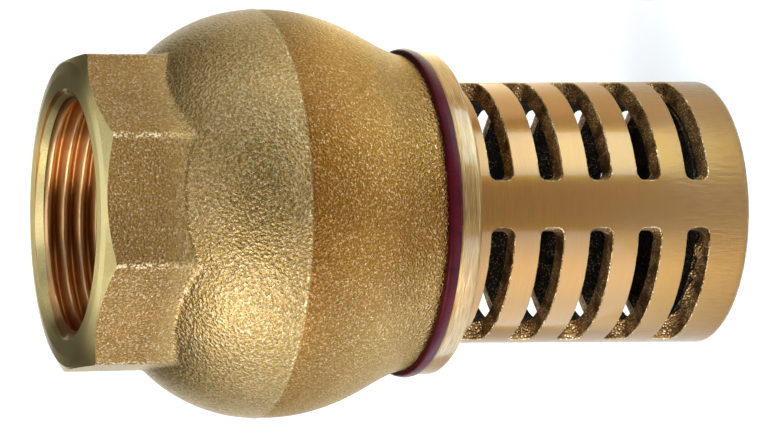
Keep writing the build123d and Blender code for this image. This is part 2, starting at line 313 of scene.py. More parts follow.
def arc(centre, radius, start, sweep, parts):
    """Points along an arc from a start through a sweep, both in degrees."""
    points = []
    for part in range(parts + 1):
        turn = math.radians(start + sweep * part / parts)
        points.append((centre[0] + radius * math.cos(turn), centre[1] + radius * math.sin(turn)))
    return points


def corner_arcs(half_width, half_height, radius, parts):
    """Four corner arcs of a rounded rectangle about the origin, anticlockwise."""
    arcs = []
    for index, (side_x, side_y) in enumerate(((1, 1), (-1, 1), (-1, -1), (1, -1))):
        centre = (side_x * (half_width - radius), side_y * (half_height - radius))
        arcs.append(arc(centre, radius, 90 * index, 90, parts))
    return arcs


def between(first, last, share):
    """Point at a share of the way from the first to the last."""
    return tuple(a + (b - a) * share for a, b in zip(first, last))


def scene_object(name, data):
    """New object in the scene for a mesh, a lamp or a camera."""
    made = bpy.data.objects.new(name, data)
    bpy.context.scene.collection.objects.link(made)
    return made


def mesh_object(name, points, faces, materials, face_materials=None):
    """Smooth-shaded mesh object with its materials."""
    mesh = bpy.data.meshes.new(name)
    mesh.from_pydata(points, [], faces)
    for material in materials:
        mesh.materials.append(material)
    if face_materials:
        mesh.polygons.foreach_set("material_index", face_materials)
    mesh.polygons.foreach_set("use_smooth", [True] * len(mesh.polygons))
    mesh.validate()
    return scene_object(name, mesh)


def middle_of(loop):
    """Mean of a loop's points."""
    return tuple(sum((Vector(point) for point in loop), Vector()) / len(loop))


def skin(loops, close_first=False, close_last=False):
    """Points and quads between loops of equal length, with fans over closed ends."""
    count = len(loops[0])
    points = [point for loop in loops for point in loop]
    faces = []
    for row in range(len(loops) - 1):
        for step in range(count):
            after = (step + 1) % count
            here, above = row * count, (row + 1) * count
            faces.append((here + step, here + after, above + after, above + step))
    if close_first:
        points.append(middle_of(loops[0]))
        faces += [(len(points) - 1, (s + 1) % count, s) for s in range(count)]
    if close_last:
        points.append(middle_of(loops[-1]))
        start = (len(loops) - 1) * count
        faces += [(len(points) - 1, start + s, start + (s + 1) % count) for s in range(count)]
    return points, faces


def fine_profile(profile, step):
    """(radius, height) points with long stretches divided into steps."""
    fine = [profile[0]]
    for start, end in zip(profile, profile[1:]):
        parts = max(1, math.ceil(math.dist(start, end) / step))
        fine += [between(start, end, part / parts) for part in range(1, parts + 1)]
    return fine


def eased(profile, size):
    """Each inner corner of an open profile replaced by two points and one between them."""
    out = [profile[0]]
    for before, corner, after in zip(profile, profile[1:], profile[2:]):
        corner_v = Vector(corner)
        back = Vector(before) - corner_v
        ahead = Vector(after) - corner_v
        cut = min(size, back.length / 2.2, ahead.length / 2.2)
        start = corner_v + back.normalized() * cut
        end = corner_v + ahead.normalized() * cut
        middle = (start + end) / 2 * 0.5 + corner_v * 0.5
        out += [tuple(start), tuple(middle), tuple(end)]
    out.append(profile[-1])
    return out


def sharpen(obj, angle):
    """Keep edges sharper than an angle in degrees crisp under smooth shading."""
    bpy.context.view_layer.objects.active = obj
    obj.select_set(True)
    obj.data.set_sharp_from_angle(angle=math.radians(angle))
    obj.select_set(False)


def turned(name, profile, material, segments=TURNED_SEGMENTS):
    """Lathe a (radius, height) profile about Z."""
    points, faces = skin([circle(r, z, segments) for r, z in profile])
    made = mesh_object(name, points, faces, [material])
    sharpen(made, 40)
    return made


# ---------------------------------------------------------------- materials

class Nodes:
    """One material's node tree, with short calls that add and link its nodes."""

    def __init__(self, name):
        """New material with its Principled shader."""
        self.material = bpy.data.materials.new(name)
        self.material.use_nodes = True
        self.tree = self.material.node_tree
        self.shader = self.tree.nodes["Principled BSDF"]

    def put(self, socket, value):
        """Link an output to a socket, or set a value on it; a colour gets its alpha."""
        if isinstance(value, bpy.types.NodeSocket):
            self.tree.links.new(value, socket)
        elif socket.type == "RGBA":
            socket.default_value = (*value, 1)
        else:
            socket.default_value = value

    def fill(self, node, inputs):
        """Put values on inputs by name, with _ for a space in it."""
        for key, value in inputs.items():
            self.put(node.inputs[key.replace("_", " ")], value)

    def add(self, kind, **inputs):
        """New node with its named inputs filled."""
        node = self.tree.nodes.new(kind)
        self.fill(node, inputs)
        return node

    def finish(self, **inputs):
        """The material, once the shader's named inputs are filled."""
        self.fill(self.shader, inputs)
        return self.material

    def place(self, scale=(1, 1, 1)):
        """Object coordinates in metres, stretched by the scale."""
        coordinates = self.add("ShaderNodeTexCoord").outputs["Object"]
        return self.add("ShaderNodeMapping", Vector=coordinates, Scale=scale).outputs["Vector"]

    def point(self):
        """Outputs X, Y and Z of the point, in metres in the CAD model's frame."""
        return self.add("ShaderNodeSeparateXYZ", Vector=self.place()).outputs

    def radius(self):
        """Distance of the point from the Z axis in metres."""
        node = self.add("ShaderNodeVectorMath")
        node.operation = "LENGTH"
        self.put(node.inputs[0], self.place((1, 1, 0)))
        return node.outputs["Value"]

    def sideways(self):
        """How far a point is round from the front or back: 0 there, 1 at either side."""
        return self.math("DIVIDE", self.math("ABSOLUTE", self.point()["X"]), self.radius())

    def octagon_edge(self):
        """1 on the port octagon's upright edges, falling to 0 about 1.5 degrees beside them."""
        point = self.point()
        angle = self.math("ARCTAN2", point["Y"], point["X"])
        side = self.math("MULTIPLY", angle, OCTAGON_SIDES / (2 * math.pi))
        share = self.math("FRACT", self.math("ADD", side, OCTAGON_SIDES))
        return self.band(share, 0.5, OCTAGON_WEAR_AND_HIGHLIGHT)

    def noise(self, size, detail=3.0, roughness=0.5, vector=None):
        """Noise whose features are about one size across, in metres."""
        return self.add(
            "ShaderNodeTexNoise", Vector=vector or self.place(), Scale=1 / size,
            Detail=detail, Roughness=roughness,
        ).outputs["Fac"]

    def cells(self, size):
        """Distance to the nearest of scattered points, for grains and specks."""
        node = self.add("ShaderNodeTexVoronoi", Vector=self.place(), Scale=1 / size)
        return node.outputs["Distance"]

    def math(self, operation, first, second=0.0):
        """Result of a Math node's operation."""
        node = self.add("ShaderNodeMath")
        node.operation = operation
        self.put(node.inputs[0], first)
        self.put(node.inputs[1], second)
        return node.outputs[0]

    def span(self, value, low, high, to_low=0.0, to_high=1.0):
        """Value carried from one range to another, and held at its ends."""
        return self.add(
            "ShaderNodeMapRange", Value=value, From_Min=low, From_Max=high,
            To_Min=to_low, To_Max=to_high,
        ).outputs["Result"]

    def band(self, value, middle, half_width):
        """1 where a value is near the middle, falling to 0 at half a width from it."""
        away = self.math("ABSOLUTE", self.math("SUBTRACT", value, middle))
        return self.span(away, half_width, 0.3 * half_width)

    def ramp(self, value, low, high, tones):
        """Colour that goes from the first tone to the second as a value goes from low to high."""
        node = self.add("ShaderNodeValToRGB", Fac=value)
        for element, position, tone in zip(node.color_ramp.elements, (low, high), tones):
            element.position = position
            element.color = (*tone, 1)
        return node.outputs["Color"]

    def mix(self, factor, first, second):
        """Colour mixed from first to second by a factor."""
        node = self.add("ShaderNodeMix")
        node.data_type = "RGBA"
        for index, value in ((0, factor), (6, first), (7, second)):
            self.put(node.inputs[index], value)
        return node.outputs[2]

    def bump(self, height, depth, strength=1.0, normal=None):
        """Bump normal from a 0 to 1 height that stands for a depth in metres."""
        node = self.add("ShaderNodeBump", Strength=strength, Distance=depth, Height=height)
        if normal:
            self.put(node.inputs["Normal"], normal)
        return node.outputs["Normal"]


def cast_brass():
    """Sand-cast brass: orange-peel skin with painted highlights on its crests, painted shade in
    its valleys and painted glints; paler edges and flash from wear and painted highlight. Below
    the parting line it is darker and more orange, with painted shade at front and back; the
    octagon's flats are painted a darker brown as shade.
    """
    n = Nodes("cast_brass")
    patches = n.noise(9 * MM, 2)
    sand = n.noise(0.17 * MM, 2, 0.6)
    glint_cells = n.cells(0.27 * MM)
    height = n.point()["Z"]
    half = n.span(height, PARTING_Z - 0.25 * MM, PARTING_Z + 0.05 * MM)
    below_flats = n.span(height, OCTAGON_Z + 3 * MM, OCTAGON_Z - 1 * MM)
    peel = n.math("MULTIPLY", half, below_flats)
    pebbles = n.mix(peel, n.noise(0.33 * MM, 2, 0.45), n.noise(0.39 * MM, 2, 0.45))
    upper, shaded_flats, lower, lit_lower_sides = (
        n.ramp(patches, 0.30, 0.66, tones)
        for tones in (CAST_UPPER, CAST_FLATS_SHADED, CAST_LOWER_SHADED, CAST_LOWER_LIT_SIDES)
    )
    # Painted shade: the lower half is darker at front and back than at its sides.
    lower = n.mix(n.span(n.sideways(), 0.30, 0.85), lower, lit_lower_sides)
    # The octagon's flats take a darker brown of painted shade.
    colour = n.mix(half, lower, n.mix(below_flats, shaded_flats, upper))
    # Painted shade: the pebbles' valleys are darkened.
    valley_shade = n.math("MULTIPLY", n.span(pebbles, 0.48, 0.36), 0.35)
    colour = n.mix(valley_shade, colour, VALLEY_SHADE)
    # Painted highlight: the pebbles' crests are paler where the sand is high.
    crest_highlight = n.math("MULTIPLY", n.span(pebbles, 0.52, 0.66), n.span(sand, 0.40, 0.60))
    crest_highlight_tones = n.mix(half, CREST_HIGHLIGHT_LOWER, CREST_HIGHLIGHT_UPPER)
    colour = n.mix(n.math("MULTIPLY", crest_highlight, 0.5), colour, crest_highlight_tones)
    # Painted highlight: glint specks on the pebbles' crests.
    bright = n.math("MULTIPLY", n.span(glint_cells, 0.30, 0.12), n.span(pebbles, 0.46, 0.60))
    glint_tones = n.mix(half, CAST_WEAR_AND_GLINT, GLINT_UPPER)
    colour = n.mix(n.math("MULTIPLY", bright, 0.5), colour, glint_tones)
    # Paler along the octagon's edges and the parting flash: partly wear, partly painted
    # highlight.
    edge = n.math("MULTIPLY", n.octagon_edge(), n.math("SUBTRACT", 1.0, below_flats))
    flash_wear_and_highlight = n.band(height, PARTING_Z + 0.30 * MM, 0.22 * MM)
    flash_wear_and_highlight = n.math("MULTIPLY", flash_wear_and_highlight, n.span(n.noise(2.6 * MM, 2), 0.48, 0.60))
    wear_and_highlight = n.math("MAXIMUM", edge, flash_wear_and_highlight)
    wear_and_highlight = n.math("MULTIPLY", wear_and_highlight, n.span(pebbles, 0.44, 0.60))
    colour = n.mix(n.math("MULTIPLY", wear_and_highlight, 0.60), colour, CAST_WEAR_AND_GLINT)
    normal = n.bump(n.span(pebbles, 0.30, 0.70), 0.09 * MM)
    normal = n.bump(sand, 0.04 * MM, normal=normal)
    return n.finish(
        Base_Color=colour, Metallic=1.0, Roughness=n.span(sand, 0.3, 0.7, 0.22, 0.34),
        Specular_Tint=(0.90, 0.84, 0.64), Coat_Weight=n.math("MULTIPLY", half, 0.22),
        Coat_Roughness=0.2, Coat_IOR=1.45, Normal=normal,
    )


def turned_brass(name, grooves, tones, depth=0.018 * MM, end_tone=None, root_shade_tone=None):
    """Machined brass; grooves is the vector scale that draws the tool marks out.

    With an end tone, the colour drifts to it towards the strainer's closed end, where
    the surface also has brush marks along the axis. With a root shade tone, the port
    thread's grooves are painted that darker colour as shade.
    """
    n = Nodes(name)
    low, high = tones
    where = n.place(grooves)
    lines = n.noise(0.13 * MM, 3, 0.6, where)
    bands = n.noise(1.3 * MM, 2, 0.5, where)
    colour = n.mix(n.span(lines, 0.3, 0.7), low, high)
    colour = n.mix(n.span(bands, 0.35, 0.65, 0, 0.35), colour, low)
    normal = n.bump(lines, depth)
    if end_tone:
        height = n.point()["Z"]
        colour = n.mix(n.span(height, 36 * MM, 3 * MM), colour, end_tone)
        brushed = n.noise(0.50 * MM, 3, 0.6, n.place(ALONG_AXIS))
        share = n.span(height, 13 * MM, 8 * MM, 0.05, 1.0)
        worn_in = n.math("MULTIPLY", n.span(brushed, 0.52, 0.38), share)
        colour = n.mix(n.math("MULTIPLY", worn_in, 0.35), colour, low)
        normal = n.bump(n.math("MULTIPLY", brushed, share), 0.10 * MM, normal=normal)
    if root_shade_tone:
        # Painted shade: darker towards the thread's grooves.
        root_shade = n.span(n.radius(), THREAD_MINOR + 0.25 * MM, THREAD_MAJOR - 0.35 * MM)
        colour = n.mix(root_shade, colour, root_shade_tone)
    tangent = n.add("ShaderNodeTangent")
    tangent.direction_type = "RADIAL"
    tangent.axis = "Z"
    return n.finish(
        Base_Color=colour, Metallic=1.0, Roughness=n.span(lines, 0.3, 0.7, 0.30, 0.40),
        Anisotropic=0.9, Anisotropic_Rotation=0.25, Tangent=tangent.outputs["Tangent"],
        Specular_Tint=(0.95, 0.84, 0.60), Coat_Weight=0.5, Coat_Roughness=0.12,
        Coat_IOR=1.6, Normal=normal,
    )


def raw_brass(name, tones, grain_colour, grain_share):
    """Unmachined cast brass inside the strainer: rough, with scattered golden grains."""
    n = Nodes(name)
    grain = n.cells(0.36 * MM)
    patches = n.noise(2.4 * MM)
    base = n.ramp(patches, 0.35, 0.70, tones)
    bright = n.math("MULTIPLY", n.span(grain, 0.34, 0.14), n.span(patches, 0.40, 0.55))
    colour = n.mix(n.math("MULTIPLY", bright, grain_share), base, grain_colour)
    return n.finish(
        Base_Color=colour, Metallic=0.9, Roughness=n.span(grain, 0.1, 0.6, 0.35, 0.55),
        Normal=n.bump(grain, 0.22 * MM, 0.9),
    )


def red_rubber():
    """Glossy dark red gasket."""
    n = Nodes("red_gasket")
    colour = n.ramp(n.noise(2.5 * MM), 0.3, 0.7, RED_RUBBER)
    fine = n.noise(0.3 * MM, 2)
    return n.finish(
        Base_Color=colour, Roughness=n.span(fine, 0.3, 0.7, 0.22, 0.34), IOR=1.18,
        Specular_Tint=(1.0, 0.74, 0.62), Normal=n.bump(fine, 0.01 * MM, 0.6),
    )


def black_rubber():
    """Matt black seat washer."""
    n = Nodes("black_rubber")
    fine = n.noise(0.25 * MM)
    return n.finish(
        Base_Color=n.ramp(fine, 0.3, 0.7, BLACK_RUBBER),
        Roughness=n.span(fine, 0.3, 0.7, 0.55, 0.75), Normal=n.bump(fine, 0.03 * MM, 0.6),
    )


def stainless():
    """Drawn and turned stainless steel."""
    n = Nodes("stainless")
    lines = n.noise(0.12 * MM, 3, 0.6, n.place(AROUND_STEEL))
    return n.finish(
        Base_Color=n.ramp(lines, 0.3, 0.7, STAINLESS), Metallic=1.0,
        Roughness=n.span(lines, 0.3, 0.7, 0.22, 0.36), Normal=n.bump(lines, 0.006 * MM, 0.8),
    )


def white_plastic():
    """Moulded acetal bush."""
    n = Nodes("white_plastic")
    fine = n.noise(0.4 * MM)
    return n.finish(
        Base_Color=n.ramp(fine, 0.3, 0.7, ACETAL),
        Roughness=n.span(fine, 0.3, 0.7, 0.35, 0.5), Normal=n.bump(fine, 0.01 * MM, 0.5),
    )


# ---------------------------------------------------------------- body casting

def bulb_radius_at(z, inset=0.0):
    """Radius of the bulb at a height: sphere below the equator, tighter arc above.

    The outside steps in below the mould's parting line and has a small lip above it. With
    an inset, it is the plain inner wall that far inside.
    """
    rise = z - BULB_Z
    if rise <= 0:
        radius = math.sqrt(max((BULB_RADIUS - PARTING_STEP - inset) ** 2 - rise ** 2, 0.0))
    else:
        shoulder = SHOULDER_ARC - inset
        centre = BULB_RADIUS - SHOULDER_ARC
        radius = centre - PARTING_STEP + math.sqrt(max(shoulder ** 2 - rise ** 2, 0.0))
    if inset:
        return radius
    above = z - PARTING_Z
    if above <= 0:
        return radius - PARTING_DROP * math.exp(above / PARTING_DROP_REACH)
    return radius + PARTING_LIP * math.exp(-above / PARTING_LIP_REACH)


def smooth_max(first, second, width):
    """Larger of two lengths with a fillet of about the width where they meet."""
    gap = max(width - abs(first - second), 0.0) / width
    return max(first, second) + gap * gap * width / 4


def octagon_radius(angle):
    """Radius of the octagon, with its cast edges a little rounded."""
    total = 0.0
    for side in range(OCTAGON_SIDES):
        facing = math.cos(angle - 2 * math.pi * side / OCTAGON_SIDES)
        if facing > 0:
            total += facing ** OCTAGON_SHARPNESS
    return OCTAGON_APOTHEM / total ** (1 / OCTAGON_SHARPNESS)


def cast_wave(angle, z, radius):
    """Slow unevenness of the casting, always inwards."""
    place = Vector((radius * math.cos(angle), radius * math.sin(angle), z))
    return CAST_WAVE * 0.5 * (noise.noise(place / CAST_WAVE_SIZE) - 1)


def parting_wander(angle):
    """How far the parting line strays up or down at an angle."""
    place = Vector((math.cos(angle), math.sin(angle), 0)) * WANDER_WAVES
    return PARTING_WANDER * noise.noise(place)


def cast_radius(angle, z):
    """Outer radius of the rough casting: neck and bulb, with the octagon above the equator."""
    bulb = bulb_radius_at(z)
    if z < BULB_Z:
        radius = smooth_max(bulb, RIM_RADIUS, NECK_FILLET)
    else:
        radius = smooth_max(bulb, octagon_radius(angle), CAST_FILLET)
    return radius + cast_wave(angle, z, radius)


def octagon_end_radius(angle):
    """Outer radius of the casting where the port's chamfer cuts it."""
    return cast_radius(angle, OCTAGON_TOP_Z)


def chamfer_z(radius):
    """Height of the port's turned chamfer at a radius."""
    return FACE_Z - FACE_BEVEL_DROP - (radius - FACE_BEVEL_RADIUS) * FACE_CHAMFER_SLOPE


def casting_loops():
    """Loops up the outside of the casting, the last one on the turned chamfer's edge."""
    loops = []
    rows = int((OCTAGON_TOP_Z - RIM_Z) / CASTING_STEP)
    for row in range(rows + 1):
        z = RIM_Z + row * CASTING_STEP
        if z <= PARTING_Z < z + CASTING_STEP:
            for level in (PARTING_Z - PARTING_HALF_GAP, PARTING_Z + PARTING_HALF_GAP):
                loops.append(ring(
                    lambda a: cast_radius(a, level), lambda a: level + parting_wander(a),
                    BODY_SEGMENTS,
                ))
        else:
            loops.append(ring(lambda a: cast_radius(a, z), lambda a: z, BODY_SEGMENTS))
    last_z = RIM_Z + rows * CASTING_STEP
    for part in range(1, CHAMFER_ROWS + 1):
        share = part / CHAMFER_ROWS

        def height(angle):
            """Height on the way up to the chamfer's edge, which dips at the corners."""
            return last_z + (chamfer_z(octagon_end_radius(angle)) - last_z) * share

        loops.append(ring(octagon_end_radius, height, BODY_SEGMENTS))
    return loops


def make_casting(material):
    """Outside of the body casting from the rim to the port's chamfer."""
    points, faces = skin(casting_loops())
    made = mesh_object("body_casting", points, faces, [material])
    sharpen(made, 60)
    return made


def make_port_face(material):
    """Turned end face: chamfer cut across the octagon, flat ring and lead-in."""
    loops = []
    for part in range(FACE_ROWS + 1):
        share = part / FACE_ROWS

        def radius(angle):
            """Radius on the way in from the octagon's outline to the round bevel."""
            outer = octagon_end_radius(angle)
            return outer + (FACE_BEVEL_RADIUS - outer) * share

        loops.append(ring(radius, lambda a: chamfer_z(radius(a)), BODY_SEGMENTS))
    profile = eased([
        (FACE_BEVEL_RADIUS, FACE_Z - FACE_BEVEL_DROP),
        (FACE_RING_RADIUS, FACE_Z),
        (THREAD_MINOR + THREAD_LEAD_IN, FACE_Z),
        (THREAD_MINOR + 0.3 * THREAD_LEAD_IN, FACE_Z - 0.7 * THREAD_LEAD_IN),
    ], FACE_EDGE)
    loops += [circle(r, z, BODY_SEGMENTS) for r, z in profile[1:]]
    points, faces = skin(loops)
    made = mesh_object("body_port_face", points, faces, [material])
    sharpen(made, 8)
    return made


def clamped(share):
    """Share held between 0 and 1."""
    return min(max(share, 0.0), 1.0)


def thread_radius(phase):
    """Radius of the pipe thread at a phase of 0 to 1 along its pitch."""
    flank = abs(2 * (phase % 1.0) - 1)
    share = clamped((flank - THREAD_FLAT) / (1 - 2 * THREAD_FLAT))
    rounded = share * share * (3 - 2 * share)
    share = rounded * THREAD_ROUNDING + share * (1 - THREAD_ROUNDING)
    return THREAD_MAJOR + (THREAD_MINOR - THREAD_MAJOR) * share


def make_port_thread(material):
    """Helical pipe thread, cut by the lead-in above and fading out below."""
    bottom_z = FACE_Z - THREAD_LENGTH
    rows = (int(THREAD_LENGTH / THREAD_PITCH) + 3) * THREAD_STEPS + 1
    points = []
    for column in range(THREAD_SEGMENTS + 1):
        turn = column / THREAD_SEGMENTS
        angle = 2 * math.pi * turn
        for row in range(rows):
            along = (row / THREAD_STEPS - 1 + turn) * THREAD_PITCH
            z = min(max(bottom_z + along, bottom_z), FACE_Z)
            fade = clamped((z - bottom_z) / THREAD_PITCH)
            radius = THREAD_MINOR + (thread_radius(row / THREAD_STEPS) - THREAD_MINOR) * fade
            radius = max(radius, THREAD_MINOR + THREAD_LEAD_IN - (FACE_Z - z))
            points.append((radius * math.cos(angle), radius * math.sin(angle), z))
    faces = []
    for column in range(THREAD_SEGMENTS):
        for row in range(rows - 1):
            here, beside = column * rows + row, (column + 1) * rows + row
            faces.append((here, here + 1, beside + 1, beside))
    made = mesh_object("body_port_thread", points, faces, [material])
    sharpen(made, 50)
    return made


def make_inside(material):
    """Passage, chamber, neck bore and rim as one lathed skin."""
    passage_z = FACE_Z - THREAD_LENGTH
    roof_z = passage_z - PASSAGE_LENGTH
    wall_z = roof_z - ROOF_FILLET
    floor_z = RIM_Z + NECK_THREAD_LENGTH
    fillet_centre = (bulb_radius_at(roof_z, BODY_WALL) - ROOF_FILLET, wall_z)
    profile = [(THREAD_MINOR, passage_z), (PASSAGE_RADIUS, passage_z), (PASSAGE_RADIUS, roof_z)]
    profile += arc(fillet_centre, ROOF_FILLET, 90, -90, 8)
    for row in range(CHAMBER_ROWS + 1):
        z = wall_z - (wall_z - floor_z) * row / CHAMBER_ROWS
        profile.append((bulb_radius_at(z, BODY_WALL), z))
    profile += [
        (NECK_THREAD_RADIUS, floor_z),
        (NECK_THREAD_RADIUS, RIM_Z + NECK_THREAD_CHAMFER),
        (NECK_THREAD_RADIUS + NECK_THREAD_FLARE, RIM_Z),
        (RIM_RADIUS - RIM_EDGE, RIM_Z),
    ]
    return turned("body_inside", profile, material)


def make_spider(material):
    """Hub, spring seat and ribs of the guide spider."""
    hub_low = SPRING_HIGH.z - HUB_LOW_DROP
    hub_high = FACE_Z - THREAD_LENGTH - HUB_TOP_DROP
    seat_z = FACE_Z - THREAD_LENGTH - SPRING_SEAT_DROP
    profile = eased([
        (HUB_BORE, hub_low),
        (HUB_RADIUS, hub_low),
        (HUB_RADIUS, seat_z),
        (SPRING_SEAT_RADIUS, seat_z),
        (SPRING_SEAT_RADIUS, seat_z + SPRING_SEAT_THICKNESS),
        (HUB_RADIUS, seat_z + SPRING_SEAT_THICKNESS + SPRING_SEAT_CONE),
        (HUB_RADIUS, hub_high),
        (HUB_BORE, hub_high),
        (HUB_BORE, hub_low),
    ], HUB_EDGE)
    pieces = [turned("spider_hub", profile, material, HUB_SEGMENTS)]
    for index in range(SPIDER_RIBS):
        angle = math.pi / 2 + 2 * math.pi * index / SPIDER_RIBS
        pieces.append(make_rib(f"spider_rib_{index + 1}", angle, seat_z, hub_high, material))
    return pieces


def make_rib(name, angle, low_z, high_z, material):
    """One cast rib from the hub to the passage wall, with rounded edges and flared ends."""
    inner = HUB_RADIUS - RIB_INTO_HUB
    outer = PASSAGE_RADIUS + RIB_INTO_WALL
    middle_z = (low_z + high_z) / 2
    corners = corner_arcs(SPIDER_RIB_WIDTH / 2, (high_z - low_z) / 2, RIB_EDGE, 4)
    loops = []
    for part in range(RIB_STEPS + 1):
        x = inner + (outer - inner) * part / RIB_STEPS
        flare = 1 + RIB_FLARE * (abs(2 * part / RIB_STEPS - 1)) ** 3
        loop = []
        for y, z in (point for corner in corners for point in corner):
            loop.append((
                x * math.cos(angle) - y * flare * math.sin(angle),
                x * math.sin(angle) + y * flare * math.cos(angle),
                middle_z + z,
            ))
        loops.append(loop)
    points, faces = skin(loops, close_first=True, close_last=True)
    return mesh_object(name, points, faces, [material])


# ---------------------------------------------------------------- strainer

def cup_radius(z):
    """Outer radius of the slotted cup."""
    return CUP_END_RADIUS + (CUP_TOP_RADIUS - CUP_END_RADIUS) * z / CUP_LENGTH


def cavity_radius(z):
    """Inner radius of the slotted cup."""
    share = (z - END_THICKNESS) / (FLANGE_TOP_Z - THROAT_CONE - END_THICKNESS)
    return CAVITY_FLOOR_RADIUS + (CAVITY_TOP_RADIUS - CAVITY_FLOOR_RADIUS) * share


def slot_outline(grow):
    """Rounded slot outline as (arc length, height) from its centre, anticlockwise."""
    half_span = CUP_MEAN_RADIUS * (math.pi / SLOT_COLUMNS - RIB_ANGLE / 2) + grow
    corners = corner_arcs(half_span, SLOT_WIDTH / 2 + grow, SLOT_CORNER + grow, CORNER_STEPS)
    points = []
    for index, corner in enumerate(corners):
        points += corner
        following = corners[(index + 1) % 4]
        steps = SHORT_STEPS if index % 2 else LONG_STEPS
        points += [between(corner[-1], following[0], part / steps) for part in range(1, steps)]
    return points


def tile_outline():
    """Points on the tile's border that face the slot outline's points, in order."""
    half_s = CUP_MEAN_RADIUS * math.pi / SLOT_COLUMNS
    half_z = SLOT_PITCH / 2
    half = CORNER_STEPS // 2
    across = LONG_STEPS + CORNER_STEPS
    up = SHORT_STEPS + CORNER_STEPS
    points = []
    for part in range(half + 1):
        points.append((half_s, half_z - 2 * half_z * (half - part) / up))
    for part in range(1, across + 1):
        points.append((half_s - 2 * half_s * part / across, half_z))
    for part in range(1, up + 1):
        points.append((-half_s, half_z - 2 * half_z * part / up))
    for part in range(1, across + 1):
        points.append((-half_s + 2 * half_s * part / across, -half_z))
    for part in range(1, up - half):
        points.append((half_s, -half_z + 2 * half_z * part / up))
    return points


def slot_tile(column, row):
    """Loops from the outer tile border through the slot to the inner border."""
    centre_angle = CLOCKING + math.pi / SLOT_COLUMNS + 2 * math.pi * column / SLOT_COLUMNS
    centre_z = FIRST_SLOT_Z + row * SLOT_PITCH
    border = tile_outline()
    wide, true = slot_outline(SLOT_EDGE), slot_outline(0.0)

    def place(point, radius_of):
        """Point of the flat outline wrapped round the cup, at the radius for its height."""
        angle = centre_angle + point[0] / CUP_MEAN_RADIUS
        height = centre_z + point[1]
        r = radius_of(height)
        return (r * math.cos(angle), r * math.sin(angle), height)

    def drafted(point, share):
        """Slot outline's point at a share of the wall's depth, where the slot is narrower."""
        s, z = point
        shorter = 1 - share * SLOT_END_DRAFTS[column] / true[0][0]
        narrower = 1 - share * SLOT_DRAFTS[column] * 2 / SLOT_WIDTH
        if (column, row) == FLASH_SLOT and z < 0:
            ragged = noise.noise(Vector((s / FLASH_SIZE, 0.5, 0.5))) + 0.5
            narrower -= max(ragged, 0.0) * FLASH_REACH * 2 / SLOT_WIDTH * share ** 3
        return (s * shorter, z * narrower)

    def rough(point, amount, depth):
        """Point pushed up or down by noise that is different in each slot and depth."""
        s, z = point
        layer = depth * 0.7 + row * 7.3 + column * 3.1
        push = amount * noise.noise(Vector((s / SLOT_LUMP, z / SLOT_LUMP, layer)))
        return (s, z + push * z / max(math.hypot(s / 10, z), 1e-6))

    loops = []
    for level in range(TILE_LEVELS + 1):
        share = level / TILE_LEVELS
        loops.append([place(between(b, w, share), cup_radius) for b, w in zip(border, wide)])
    for part in range(TILE_DEPTHS + 1):
        share = part / TILE_DEPTHS

        def radius_inside(height):
            """Radius at this share of the wall, whose two edges are broken."""
            outer = cup_radius(height) - SLOT_EDGE
            return outer + (cavity_radius(height) + SLOT_EDGE - outer) * share

        amount = SLOT_ROUGHNESS if 0 < part < TILE_DEPTHS else SLOT_EDGE_ROUGHNESS
        loops.append([
            place(drafted(rough(point, amount, part), share), radius_inside) for point in true
        ])
    for level in range(TILE_LEVELS, -1, -1):
        share = level / TILE_LEVELS
        loops.append([
            place(between(b, drafted(w, 1.0), share), cavity_radius)
            for b, w in zip(border, wide)
        ])
    return loops


def make_slotted_wall(outside, slot_side, inside, wear_and_highlight):
    """Slotted part of the cup's wall; the slots' outer edges have the worn material, which also
    paints a highlight on them.
    """
    strips = [0] * TILE_LEVELS + [3] + [1] * TILE_DEPTHS + [2] * (TILE_LEVELS + 1)
    points, faces, face_materials = [], [], []
    for column in range(SLOT_COLUMNS):
        for row in range(SLOT_ROWS):
            tile_points, tile_faces = skin(slot_tile(column, row))
            start = len(points)
            points += tile_points
            faces += [tuple(start + corner for corner in face) for face in tile_faces]
            for strip in strips:
                face_materials += [strip] * (len(tile_faces) // len(strips))
    made = mesh_object(
        "strainer_slots", points, faces, [outside, slot_side, inside, wear_and_highlight], face_materials
    )
    weld(made)
    sharpen(made, 35)
    return made


def weld(obj):
    """Joins points that neighbouring tiles share."""
    work = bmesh.new()
    work.from_mesh(obj.data)
    bmesh.ops.remove_doubles(work, verts=work.verts, dist=WELD_DISTANCE)
    work.to_mesh(obj.data)
    work.free()


